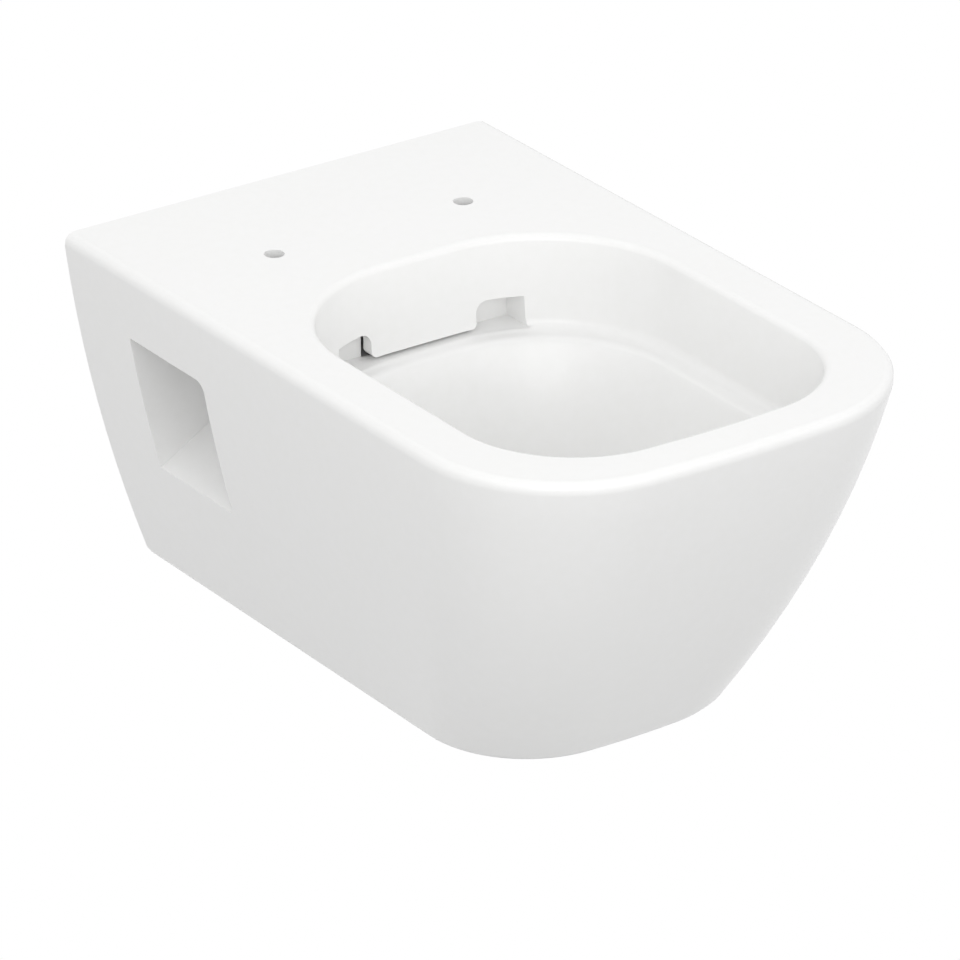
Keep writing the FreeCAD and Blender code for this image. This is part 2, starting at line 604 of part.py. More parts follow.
def make_casting_core():
    """The hollow between the skin and the bowl, less every wall that crosses it."""
    body = new_body("casting_core")
    loft(body, "Additive", "Hollow", [
        skin_outline(body, name, drop, "skin_wall", "back_wall", faceted_outline) for name, drop in (
            ("HollowTop", "deck_wall"), ("HollowWaist", "pan_height / 2"),
            ("HollowFloor", "pan_height - base_wall"))
    ])
    # The back opening narrows with the skirt
    opening = polygon_sketch(body, "BackOpening", "XZ_Plane", "-cut_margin", [
        ("-(waist_width / 2 - skin_wall)", "-back_opening_top"),
        ("waist_width / 2 - skin_wall", "-back_opening_top"),
        ("base_width / 2 - skin_wall", SUMP),
        ("-(base_width / 2 - skin_wall)", SUMP),
    ])
    pad(body, "BackCut", opening, "back_wall + cut_margin")
    mouth = mouth_outline(body, "MouthWall", "ledge_drop + bowl_wall", "bowl_wall")
    pocket(body, "UpperBowlWall", mouth, "ledge_drop + bowl_wall")
    loft(body, "Subtractive", "LowerBowlWall", [
        bowl_outline(body, f"BowlWall{percent}", f"{percent} / 100", "bowl_wall", "bowl_wall",
                     faceted_outline, reach=OUTER_REACH)
        for percent in (0, 40, 70, 100)
    ])
    trap_pipe(body, "Subtractive", "trap_wall")
    cylinder(body, "Subtractive", "Spigot", "XZ_Plane", "spigot_setback", "0", "-outlet_drop",
             "outlet_bore / 2 + trap_wall", "spigot_free")
    cylinder(body, "Subtractive", "SpigotRoot", "XZ_Plane", "spigot_setback + spigot_free", "0",
             "-outlet_drop", "outlet_bore / 2 + trap_wall + spigot_shoulder",
             "spigot_depth + trap_wall - spigot_free")
    cylinder(body, "Subtractive", "InletWall", "XZ_Plane", "0", "0", "inlet_rise",
             "inlet_bore / 2 + cell_wall", "inlet_depth + cell_wall")
    cylinder(body, "Subtractive", "ChannelWall", "XZ_Plane", "0", "0", "inlet_rise",
             "channel_bore / 2 + cell_wall", "chamber_wide")
    chamber = polygon_sketch(body, "ChamberWall", "XY_Plane", f"{LEDGE} - cell_wall",
                             chamber_plan("cell_wall"))
    pocket(body, "ChamberShell", chamber, "chamber_rise + 2 * cell_wall")
    window_half = "lip_width / 2 + window_width + cell_wall"
    window_top = f"{LEDGE} + window_height + cell_wall"
    behind_windows = polygon_sketch(body, "WindowWall", "XZ_Plane", f"{WINDOW_BACK} - cell_wall", [
        (f"-({window_half})", f"{LEDGE} - cell_wall"), (window_half, f"{LEDGE} - cell_wall"),
        (window_half, window_top), (f"-({window_half})", window_top),
    ])
    pocket(body, "WindowShell", behind_windows, "window_reach + lip_wall + cell_wall + cut_margin")
    for side in (-1, 1):
        name = "Left" if side < 0 else "Right"
        profile = polygon_sketch(body, f"{name}PocketWall", "XZ_Plane", "pocket_rear - cell_wall",
                                 pocket_profile(side, "cell_wall"))
        pocket(body, f"{name}PocketShell", profile, "pocket_front - pocket_rear + 2 * cell_wall")
        cylinder(body, "Subtractive", f"{name}Boss", "XZ_Plane", "0", f"{side} * stud_spacing / 2", "0",
                 "sleeve_diameter / 2 + running_gap + boss_wall", "pocket_rear")
    return body


# ---------------------------------------------------------------- the ways for water and studs

def make_passages():
    """What is bored out of the ceramic: trap, outlet, inlet, channel, chamber, lip windows and stud holes."""
    body = new_body("passages")
    trap_pipe(body, "Additive", "0")
    cylinder(body, "Additive", "OutletBore", "XZ_Plane", "0", "0", "-outlet_drop",
             "outlet_bore / 2", "spigot_setback + spigot_depth")
    cylinder(body, "Additive", "InletBore", "XZ_Plane", "-cut_margin", "0", "inlet_rise",
             "inlet_bore / 2", "inlet_depth + cut_margin")
    cylinder(body, "Additive", "ChannelBore", "XZ_Plane", "0", "0", "inlet_rise",
             "channel_bore / 2", "chamber_rear + channel_bore / 2")
    chamber = polygon_sketch(body, "ChamberPlan", "XY_Plane", LEDGE, chamber_plan("0"))
    pad(body, "Chamber", chamber, "chamber_rise")
    lip_windows(body)
    for side in (-1, 1):
        cylinder(body, "Additive", ("Left" if side < 0 else "Right") + "StudHole", "XZ_Plane", "-cut_margin",
                 f"{side} * stud_spacing / 2", "0", "sleeve_diameter / 2 + running_gap",
                 "pocket_rear + 2 * cut_margin")
    return body


def lip_windows(body):
    """The way out under the lip and through the window at each side of it."""
    half, wide = "lip_width / 2", "lip_width / 2 + window_width"
    top, under = f"{LEDGE} + window_height", f"{LEDGE} + lip_rise"
    profile = polygon_sketch(body, "WindowProfile", "XZ_Plane", WINDOW_BACK, [
        (f"-({wide})", SILL), (wide, SILL), (wide, top), (half, top), (half, under), (f"-({half})", under),
        (f"-({half})", top), (f"-({wide})", top),
    ])
    pad(body, "Windows", profile, "window_reach + lip_wall + cut_margin")
    trim_edges(body, "Fillet", "LipRound", "lip_round", runs_forward(half, under))
    trim_edges(body, "Fillet", "WindowRound", "window_round", runs_forward(half, top))


def runs_forward(across, up):
    """A test for edges that run away from the wall at a place left and right of the middle."""
    place, level = measure(across), measure(up)

    def wanted(edge):
        bounds = edge.BoundBox
        return (bounds.YLength > 1 and bounds.XLength < 0.01 and bounds.ZLength < 0.01
                and abs(abs(bounds.XMin) - place) < 0.01 and abs(bounds.ZMin - level) < 0.01)
    return wanted


def cut(label, base, tool):
    feature = document.addObject("Part::Cut", label)
    feature.Base, feature.Tool = base, tool
    return feature


def make_pan():
    form, core, passages = make_form(), make_casting_core(), make_passages()
    return cut("pan", cut("hollow_form", form, core), passages)


# ---------------------------------------------------------------- seal and flush distributor

def make_inlet_seal():
    """A rubber collar with ribs outside, turned round the inlet's axis."""
    body = new_body("inlet_seal")
    bind(body, {"Placement.Base.z": "inlet_rise"})
    inner, outer = "pipe_diameter / 2", "inlet_bore / 2 - running_gap"
    valley = f"{outer} - seal_rib"
    first, last = "seal_setback", "inlet_depth - ring_flange"
    front_rib, rear_rib = f"{first} + seal_rib_width", f"{last} - seal_rib_width"
    corners = [(first, f"{inner} + seal_chamfer"), (first, outer), (front_rib, outer), (front_rib, valley),
               (rear_rib, valley), (rear_rib, outer), (last, outer), (last, inner),
               (f"{first} + seal_chamfer", inner)]
    profile = polygon_sketch(body, "SealProfile", "YZ_Plane", "0",
                             [(f"-({place})", up) for place, up in corners])
    turn = body.newObject("PartDesign::Revolution", "SealTurn")
    turn.Profile = profile
    turn.ReferenceAxis = (profile, ["H_Axis"])
    turn.Angle = 360
    return body


def make_flush_distributor():
    """A flanged ring in the flush channel with a web that forks into two vanes."""
    body = new_body("flush_distributor")
    bind(body, {"Placement.Base.y": "-inlet_depth", "Placement.Base.z": "inlet_rise"})
    ring = "channel_bore / 2 - running_gap"
    cylinder(body, "Additive", "Flange", "XZ_Plane", "-ring_flange", "0", "0", "inlet_bore / 2 - running_gap",
             "ring_flange")
    cylinder(body, "Additive", "Ring", "XZ_Plane", "0", "0", "0", ring, "ring_length")
    cylinder(body, "Subtractive", "RingBore", "XZ_Plane", "-ring_flange - cut_margin", "0", "0",
             f"{ring} - ring_wall", "ring_length + ring_flange + 2 * cut_margin")
    web, thick = "vane_wall / 2", "vane_wall / cos(vane_angle)"
    tip = f"{web} + vane_length * tan(vane_angle)"
    end = "-(vane_fork + vane_length)"
    notch = f"-(vane_fork + ({thick} - {web}) / tan(vane_angle))"
    plan = polygon_sketch(body, "VanePlan", "XY_Plane", "0", [
        (f"-({web})", "-vane_start"), (web, "-vane_start"), (web, "-vane_fork"), (tip, end),
        (f"{tip} - {thick}", end), ("0", notch), (f"-({tip} - {thick})", end), (f"-({tip})", end),
        (f"-({web})", "-vane_fork"),
    ])
    vanes = pad(body, "Vanes", plan, f"2 * ({ring}) - ring_wall")
    vanes.SideType = "Symmetric"
    return body


# ---------------------------------------------------------------- wall fixing, one set for each side

FLANGE_SEAT = "pocket_rear"
WASHER_SEAT = "pocket_rear + sleeve_flange"
NUT_SEAT = f"{WASHER_SEAT} + washer_thickness"
STUD_END = f"{NUT_SEAT} + nut_height + stud_past_nut"
STUD_BORE = "stud_diameter / 2 + running_gap"
NUT_CORNER = "nut_flats / 2 / cos(30)"


def fixing_body(label, side):
    """A body whose own origin lies on its stud's axis, on the wall plane."""
    body = new_body(label + ("_left" if side < 0 else "_right"))
    bind(body, {"Placement.Base.x": f"{side} * stud_spacing / 2"})
    return body


def on_stud(body, kind, name, start, radius, length):
    """A cylinder about the stud's axis, from a distance in front of the wall."""
    return cylinder(body, kind, name, "XZ_Plane", start, "0", "0", radius, length)


def make_stud(side):
    body = fixing_body("stud", side)
    on_stud(body, "Additive", "WallThread", "-stud_in_wall", "stud_diameter / 2", "stud_in_wall")
    on_stud(body, "Additive", "Shank", "0", "stud_core / 2", STUD_END)
    on_stud(body, "Additive", "NutThread", f"{STUD_END} - thread_in_front", "stud_diameter / 2",
            "thread_in_front")
    ends = (measure("stud_in_wall"), -measure(STUD_END))
    trim_edges(body, "Chamfer", "Ends", "stud_chamfer",
               lambda edge: edge.BoundBox.YLength < 0.01
                and any(abs(edge.BoundBox.YMin - end) < 0.01 for end in ends))
    return body


def make_sleeve(side):
    body = fixing_body("sleeve", side)
    on_stud(body, "Additive", "Tube", "sleeve_setback", "sleeve_diameter / 2",
            f"{FLANGE_SEAT} + sleeve_flange - sleeve_setback")
    on_stud(body, "Additive", "Flange", FLANGE_SEAT, "sleeve_flange_diameter / 2", "sleeve_flange")
    on_stud(body, "Subtractive", "Bore", "0", STUD_BORE, f"{FLANGE_SEAT} + sleeve_flange + cut_margin")
    return body


def make_washer(side):
    body = fixing_body("washer", side)
    on_stud(body, "Additive", "Disc", WASHER_SEAT, "washer_diameter / 2", "washer_thickness")
    on_stud(body, "Subtractive", "Bore", WASHER_SEAT, STUD_BORE, "washer_thickness")
    return body


def make_nut(side):
    body = fixing_body("nut", side)
    hexagon = body.newObject("PartDesign::AdditivePrism", "Hexagon")
    hexagon.Polygon = 6
    attach(hexagon, body, "XZ_Plane", NUT_SEAT)
    bind(hexagon, {"Circumradius": NUT_CORNER, "Height": "nut_height"})
    on_stud(body, "Subtractive", "Thread", NUT_SEAT, "stud_diameter / 2 + thread_gap", "nut_height")
    return body


def make_cap(side):
    """A cup that slides over the nut's corners."""
    body = fixing_body("cap", side)
    start, inner = f"{NUT_SEAT} + running_gap", f"{NUT_CORNER} + running_gap"
    inside = f"{STUD_END} + cap_headroom - ({start})"
    cup = on_stud(body, "Additive", "Cup", start, f"{inner} + cap_wall", f"{inside} + cap_wall")
    document.recompute()
    front = cup.Shape.BoundBox.YMin
    trim_edges(body, "Chamfer", "CupBevel", "cap_bevel", lambda edge: edge.BoundBox.YMax < front + 0.01)
    on_stud(body, "Subtractive", "Hollow", start, inner, inside)
    return body


def check_and_export(pieces):
    """Refuse a failed feature or an unsound solid, then write each piece to its own file."""
    document.recompute()
    failed = [item.Name for item in document.Objects if {"Invalid", "Error"} & set(item.State)]
    if failed:
        raise ValueError(f"failed features: {failed}")
    os.makedirs("parts", exist_ok=True)
    for piece in pieces:
        shape = piece.Shape
        if shape.isNull() or not shape.isValid() or len(shape.Solids) != 1:
            raise ValueError(f"{piece.Label} is not one sound solid")
        shape.exportStep(f"parts/{piece.Label}.step")
        print(f"{piece.Label}: {shape.Volume:.0f} mm3")


pieces = [make_pan(), make_inlet_seal(), make_flush_distributor()]
for side in (-1, 1):
    pieces += [make_stud(side), make_sleeve(side), make_washer(side), make_nut(side), make_cap(side)]
check_and_export(pieces)
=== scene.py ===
"""Wall hung toilet: a white glazed pan with a rimless bowl, its wall fixings and its flush parts.

Metres, +Z up. The wall is the plane Y = 0 and the front of the pan points to -Y.
"""
from __future__ import annotations

import json
import logging
import math
from dataclasses import dataclass, field
from enum import Enum
from typing import Sequence

import bmesh
import bpy
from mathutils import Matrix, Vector

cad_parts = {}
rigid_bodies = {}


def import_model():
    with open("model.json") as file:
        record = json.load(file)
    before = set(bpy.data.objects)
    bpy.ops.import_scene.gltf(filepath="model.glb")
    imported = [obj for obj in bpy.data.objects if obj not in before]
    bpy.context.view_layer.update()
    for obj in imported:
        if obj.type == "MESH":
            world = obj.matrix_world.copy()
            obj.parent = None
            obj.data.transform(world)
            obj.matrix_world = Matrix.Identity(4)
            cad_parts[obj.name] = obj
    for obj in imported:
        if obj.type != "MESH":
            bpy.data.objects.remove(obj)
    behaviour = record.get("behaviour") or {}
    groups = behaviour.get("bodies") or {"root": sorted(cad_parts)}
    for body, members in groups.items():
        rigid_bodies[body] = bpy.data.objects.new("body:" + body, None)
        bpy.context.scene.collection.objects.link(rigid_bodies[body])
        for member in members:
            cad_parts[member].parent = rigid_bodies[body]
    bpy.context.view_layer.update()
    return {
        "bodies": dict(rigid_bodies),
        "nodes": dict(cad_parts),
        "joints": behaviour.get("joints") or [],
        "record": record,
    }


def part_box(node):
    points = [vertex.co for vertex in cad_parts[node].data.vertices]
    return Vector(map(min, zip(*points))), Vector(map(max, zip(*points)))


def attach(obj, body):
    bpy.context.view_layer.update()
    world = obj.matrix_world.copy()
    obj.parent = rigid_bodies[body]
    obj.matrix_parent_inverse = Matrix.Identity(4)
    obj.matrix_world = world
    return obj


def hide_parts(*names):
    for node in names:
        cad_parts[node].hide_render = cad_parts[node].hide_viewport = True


log = logging.getLogger("wall_hung_toilet")

Point = tuple[float, float, float]
Profile = Sequence[tuple[float, float]]
SIXTH_TURN = math.pi / 3


class Side(Enum):
    """The two sides of the pan, as seen in the frame's X."""

    LEFT = -1
    RIGHT = 1

    @property
    def suffix(self) -> str:
        """The ending of this side's node names."""
        return self.name.lower()


# ---------------------------------------------------------------- shader groups and finishes

COARSE_DETAIL, FINE_DETAIL = 4.0, 2.0
NOISE_MIDDLE = 0.5
TINT_BELOW, TINT_ABOVE = 0.8, 1.2


def add_inputs(tree: bpy.types.NodeTree, defaults: dict[str, float]) -> None:
    """Give a node tree its named number inputs.

    Args:
        tree: The shader group or Geometry Nodes tree.
        defaults: Each input's name and default value.
    """
    for label, default in defaults.items():
        socket = tree.interface.new_socket(label, in_out="INPUT", socket_type="NodeSocketFloat")
        socket.default_value = default


def math_node(nodes: bpy.types.Nodes, operation: str) -> bpy.types.Node:
    """Add a Math node set to an operation."""
    node = nodes.new("ShaderNodeMath")
    node.operation = operation
    return node


def surface_variation() -> bpy.types.ShaderNodeTree:
    """Build the group that varies a roughness and gives a fine height over a surface.

    Returns:
        The node group, built on the first call and reused after that.
    """
    name = "surface_variation"
    if name in bpy.data.node_groups:
        return bpy.data.node_groups[name]
    tree = bpy.data.node_groups.new(name, "ShaderNodeTree")
    add_inputs(tree, {"Coarse Scale": 6.0, "Fine Scale": 90.0, "Roughness": 0.2, "Spread": 0.05})
    for label in ("Roughness", "Height"):
        tree.interface.new_socket(label, in_out="OUTPUT", socket_type="NodeSocketFloat")
    nodes, links = tree.nodes, tree.links
    source, target = nodes.new("NodeGroupInput"), nodes.new("NodeGroupOutput")
    place = nodes.new("ShaderNodeTexCoord")
    coarse, fine = nodes.new("ShaderNodeTexNoise"), nodes.new("ShaderNodeTexNoise")
    coarse.inputs["Detail"].default_value = COARSE_DETAIL
    fine.inputs["Detail"].default_value = FINE_DETAIL
    for noise, scale in ((coarse, "Coarse Scale"), (fine, "Fine Scale")):
        links.new(place.outputs["Object"], noise.inputs["Vector"])
        links.new(source.outputs[scale], noise.inputs["Scale"])
    centred = math_node(nodes, "SUBTRACT")
    centred.inputs[1].default_value = NOISE_MIDDLE
    links.new(coarse.outputs["Fac"], centred.inputs[0])
    rough = math_node(nodes, "MULTIPLY_ADD")
    rough.use_clamp = True
    links.new(centred.outputs[0], rough.inputs[0])
    links.new(source.outputs["Spread"], rough.inputs[1])
    links.new(source.outputs["Roughness"], rough.inputs[2])
    height = math_node(nodes, "ADD")
    links.new(coarse.outputs["Fac"], height.inputs[0])
    links.new(fine.outputs["Fac"], height.inputs[1])
    links.new(rough.outputs[0], target.inputs["Roughness"])
    links.new(height.outputs[0], target.inputs["Height"])
    return tree


@dataclass(frozen=True)
class Finish:
    """One material: its colour, gloss and the fine structure of its surface."""

    name: str
    slot: str
    colour: tuple[float, float, float]
    roughness: float
    roughness_spread: float = 0.05
    coarse_scale: float = 6.0
    fine_scale: float = 90.0
    relief: float = 0.00005
    metallic: float = 0.0
    coat: float = 0.0
    coat_roughness: float = 0.03
    tint: tuple[float, float, float] | None = None

    def material(self) -> bpy.types.Material:
        """Build this finish's material, or find it.

        Returns:
            The node material.
        """
        found = bpy.data.materials.get(self.name)
        if found:
            return found
        material = bpy.data.materials.new(self.name)
        material.use_nodes = True
        nodes, links = material.node_tree.nodes, material.node_tree.links
        shader = nodes["Principled BSDF"]
        shader.inputs["Base Color"].default_value = (*self.colour, 1.0)
        shader.inputs["Metallic"].default_value = self.metallic
        shader.inputs["Coat Weight"].default_value = self.coat
        shader.inputs["Coat Roughness"].default_value = self.coat_roughness
        group = nodes.new("ShaderNodeGroup")
        group.node_tree = surface_variation()
        for label, value in (("Coarse Scale", self.coarse_scale), ("Fine Scale", self.fine_scale),
                             ("Roughness", self.roughness), ("Spread", self.roughness_spread)):
            group.inputs[label].default_value = value
        bump = nodes.new("ShaderNodeBump")
        bump.inputs["Strength"].default_value = 1.0
        bump.inputs["Distance"].default_value = self.relief
        links.new(group.outputs["Roughness"], shader.inputs["Roughness"])
        links.new(group.outputs["Height"], bump.inputs["Height"])
        links.new(bump.outputs["Normal"], shader.inputs["Normal"])
        if self.tint:
            self._add_tint(nodes, links, group, shader)
        return material

    def _add_tint(self, nodes: bpy.types.Nodes, links: bpy.types.NodeLinks, group: bpy.types.Node,
                  shader: bpy.types.Node) -> None:
        """Blend a second colour in where the surface's height is low.

        Args:
            nodes: The material's nodes.
            links: The material's links.
            group: The surface group, whose height drives the blend.
            shader: The shader that takes the colour.
        """
        mix = nodes.new("ShaderNodeMix")
        mix.data_type = "RGBA"
        spread = nodes.new("ShaderNodeMapRange")
        spread.inputs["From Min"].default_value = TINT_BELOW
        spread.inputs["From Max"].default_value = TINT_ABOVE
        links.new(group.outputs["Height"], spread.inputs["Value"])
        links.new(spread.outputs["Result"], mix.inputs["Factor"])
        mix.inputs["A"].default_value = (*self.tint, 1.0)
        mix.inputs["B"].default_value = (*self.colour, 1.0)
        links.new(mix.outputs["Result"], shader.inputs["Base Color"])


GLAZE = Finish(
    "glazed_ceramic", "ceramic", (0.93, 0.93, 0.925), roughness=0.3, roughness_spread=0.04, coarse_scale=5.0,
    fine_scale=140.0, relief=0.00003, coat=0.35, coat_roughness=0.12, tint=(0.92, 0.92, 0.912))
RUBBER = Finish(
    "black_rubber", "rubber", (0.02, 0.02, 0.02), roughness=0.6, roughness_spread=0.1, coarse_scale=30.0,
    fine_scale=900.0, relief=0.00006, tint=(0.03, 0.03, 0.03))
DISTRIBUTOR = Finish(
    "distributor_plastic", "distributor", (0.72, 0.73, 0.74), roughness=0.42, roughness_spread=0.06,
    coarse_scale=20.0, fine_scale=700.0, relief=0.00003)
ZINC = Finish(
    "zinc_plated_steel", "zinc_steel", (0.62, 0.63, 0.66), roughness=0.3, roughness_spread=0.12,
    coarse_scale=120.0, fine_scale=1400.0, relief=0.00002, metallic=1.0, tint=(0.55, 0.57, 0.6))
SLEEVE = Finish(
    "sleeve_plastic", "sleeve", (0.66, 0.66, 0.64), roughness=0.45, roughness_spread=0.05, coarse_scale=30.0,
    fine_scale=600.0, relief=0.00003)
CAP = Finish(
    "cap_plastic", "cap", (0.8, 0.8, 0.79), roughness=0.22, roughness_spread=0.04, coarse_scale=20.0,
    fine_scale=500.0, relief=0.00002, coat=0.2)


# ---------------------------------------------------------------- mesh helpers

WELD_TURNED = 1e-7
TURNED_SHARP_FROM = 40.0


def new_piece(name: str, mesh: bpy.types.Mesh, finish: Finish) -> bpy.types.Object:
    """Link a mesh as a piece with its finish.

    Args:
        name: The piece's name.
        mesh: Its mesh, in place.
        finish: Its finish.

    Returns:
        The new object.
    """
    piece = bpy.data.objects.new(name, mesh)
    bpy.context.scene.collection.objects.link(piece)
    mesh.materials.clear()
    mesh.materials.append(finish.material())
    return piece


def settle(piece: bpy.types.Object, body: str, node: str) -> None:
    """Tie a finished piece to its body and hide the node it stands for.

    Args:
        piece: The finished piece.
        body: The body it moves with.
        node: The node it stands for.
    """
    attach(piece, body)
    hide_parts(node)
    log.info("%s rides on %s, %d faces", piece.name, body, len(piece.data.polygons))


def merged(name: str, shape: bmesh.types.BMesh, sharp_from: float) -> bpy.types.Mesh:
    """Turn a finished shape into a mesh, shaded smooth up to an angle.

    Args:
        name: The mesh's name.
        shape: The shape, which is freed.
        sharp_from: The angle in degrees from which an edge stays sharp.

    Returns:
        The mesh.
    """
    mesh = bpy.data.meshes.new(name)
    shape.to_mesh(mesh)
    shape.free()
    mesh.shade_smooth()
    mesh.set_sharp_from_angle(angle=math.radians(sharp_from))
    return mesh


def close_round(shape: bmesh.types.BMesh, rings: Sequence[Sequence[bmesh.types.BMVert]]) -> None:
    """Join each ring of points to the next, and the last one to the first.

    Args:
        shape: The shape that holds the points.
        rings: Closed sections with as many points each.
    """
    for index, ring in enumerate(rings):
        following = rings[(index + 1) % len(rings)]
        for place in range(len(ring)):
            after = (place + 1) % len(ring)
            shape.faces.new((ring[place], ring[after], following[after], following[place]))


def on_axis(axis: tuple[float, float], radius: float, along: float, angle: float) -> Point:
    """The point at a radius and an angle round an axis that runs along Y."""
    return axis[0] + radius * math.cos(angle), along, axis[1] + radius * math.sin(angle)


def turned(name: str, axis: tuple[float, float], profile: Profile, steps: int) -> bpy.types.Mesh:
    """Turn a closed profile round an axis that runs along Y.

    Args:
        name: The mesh's name.
        axis: The axis's place in X and Z.
        profile: Pairs of radius and Y, in order round the section.
        steps: Number of steps round the axis.

    Returns:
        A closed mesh with its faces outwards.
    """
    shape = bmesh.new()
    angles = [2 * math.pi * step / steps for step in range(steps)]
    close_round(shape, [[shape.verts.new(on_axis(axis, radius, along, angle)) for radius, along in profile]
                        for angle in angles])
    bmesh.ops.remove_doubles(shape, verts=shape.verts, dist=WELD_TURNED)
    bmesh.ops.recalc_face_normals(shape, faces=shape.faces)
    return merged(name, shape, TURNED_SHARP_FROM)


def rounded(corners: Sequence[Point], steps: int) -> list[tuple[float, float]]:
    """Round a closed profile's corners.

    Args:
        corners: Triples of radius, Y and the corner's rounding.
        steps: Steps round each rounded corner.

    Returns:
        The rounded profile as pairs of radius and Y.
    """
    points: list[tuple[float, float]] = []
    for index, (across, along, rounding) in enumerate(corners):
        here = Vector((across, along))
        if rounding == 0:
            points.append((across, along))
            continue
        before = Vector(corners[index - 1][:2]) - here
        after = Vector(corners[(index + 1) % len(corners)][:2]) - here
        start, end = here + before.normalized() * rounding, here + after.normalized() * rounding
        for step in range(steps + 1):
            share = step / steps
            spot = start * (1 - share) ** 2 + here * 2 * share * (1 - share) + end * share ** 2
            points.append((spot.x, spot.y))
    return points


def apply_modifiers(piece: bpy.types.Object) -> None:
    """Bake a piece's modifiers into its mesh."""
    evaluated = piece.evaluated_get(bpy.context.evaluated_depsgraph_get())
    mesh = bpy.data.meshes.new_from_object(evaluated)
    piece.modifiers.clear()
    piece.data = mesh


# ---------------------------------------------------------------- the pan

@dataclass
class GlazedPan:
    """The ceramic pan: one glazed skin over deck, bowl, flush lip, pockets and back."""

    body: str = "pan"
    node: str = "pan"
    weld: float = 2e-5
    flat_within: float = 0.4
    edge_round: float = 0.0012
    edge_steps: int = 3
    sharp_from: float = 50.0
    shading_weight: int = 60
    finish: Finish = GLAZE

    def build(self, frame: dict) -> None:
        """Weld the frame's pan into one skin and soften its edges as a glaze does.

        Args:
            frame: The loaded frame.
        """
        mesh = self._welded(frame["nodes"][self.node].data)
        piece = new_piece("glazed_pan", mesh, self.finish)
        bevel = piece.modifiers.new("glaze_round", "BEVEL")
        bevel.width = self.edge_round
        bevel.segments = self.edge_steps
        bevel.limit_method = "ANGLE"
        bevel.angle_limit = math.radians(self.sharp_from)
        even = piece.modifiers.new("even_shading", "WEIGHTED_NORMAL")
        even.keep_sharp = True
        even.weight = self.shading_weight
        apply_modifiers(piece)
        settle(piece, self.body, self.node)

    def _welded(self, source: bpy.types.Mesh) -> bpy.types.Mesh:
        """Copy a mesh of loose triangles as one welded surface with its flat parts joined.

        Args:
            source: The mesh of loose triangles.

        Returns:
            The new mesh.
        """
        shape = bmesh.new()
        shape.from_mesh(source)
        bmesh.ops.remove_doubles(shape, verts=shape.verts, dist=self.weld)
        bmesh.ops.dissolve_limit(shape, angle_limit=math.radians(self.flat_within), verts=shape.verts,
                                 edges=shape.edges)
        return merged("glazed_pan", shape, self.sharp_from)


# ---------------------------------------------------------------- the wall fixings

STEPS_A_TURN = 20
TOOTH_SIDES = 4


def screw_thread_tree(finish: Finish) -> bpy.types.GeometryNodeTree:
    """Build the Geometry Nodes tree of a screw thread's ridge, along Z.

    Args:
        finish: The thread's finish.

    Returns:
        The tree, with inputs for length, core radius, pitch and thread depth.
    """
    tree = bpy.data.node_groups.new("screw_thread", "GeometryNodeTree")
    add_inputs(tree, {"Length": 0.1, "Core Radius": 0.005, "Pitch": 0.00175, "Depth": 0.0008})
    tree.interface.new_socket("Geometry", in_out="OUTPUT", socket_type="NodeSocketGeometry")
    nodes, links = tree.nodes, tree.links
    source, target = nodes.new("NodeGroupInput"), nodes.new("NodeGroupOutput")
    turns = math_node(nodes, "DIVIDE")
    links.new(source.outputs["Length"], turns.inputs[0])
    links.new(source.outputs["Pitch"], turns.inputs[1])
    helix = nodes.new("GeometryNodeCurveSpiral")
    helix.inputs["Resolution"].default_value = STEPS_A_TURN
    links.new(turns.outputs[0], helix.inputs["Rotations"])
    links.new(source.outputs["Length"], helix.inputs["Height"])
    for end in ("Start Radius", "End Radius"):
        links.new(source.outputs["Core Radius"], helix.inputs[end])
    tooth = nodes.new("GeometryNodeCurvePrimitiveCircle")
    tooth.mode = "RADIUS"
    tooth.inputs["Resolution"].default_value = TOOTH_SIDES
    links.new(source.outputs["Depth"], tooth.inputs["Radius"])
    thread = nodes.new("GeometryNodeCurveToMesh")
    thread.inputs["Fill Caps"].default_value = True
    links.new(helix.outputs["Curve"], thread.inputs["Curve"])
    links.new(tooth.outputs["Curve"], thread.inputs["Profile Curve"])
    real, dressed = nodes.new("GeometryNodeRealizeInstances"), nodes.new("GeometryNodeSetMaterial")
    dressed.inputs["Material"].default_value = finish.material()
    links.new(thread.outputs["Mesh"], real.inputs["Geometry"])
    links.new(real.outputs["Geometry"], dressed.inputs["Geometry"])
    links.new(dressed.outputs["Geometry"], target.inputs["Geometry"])
    return tree


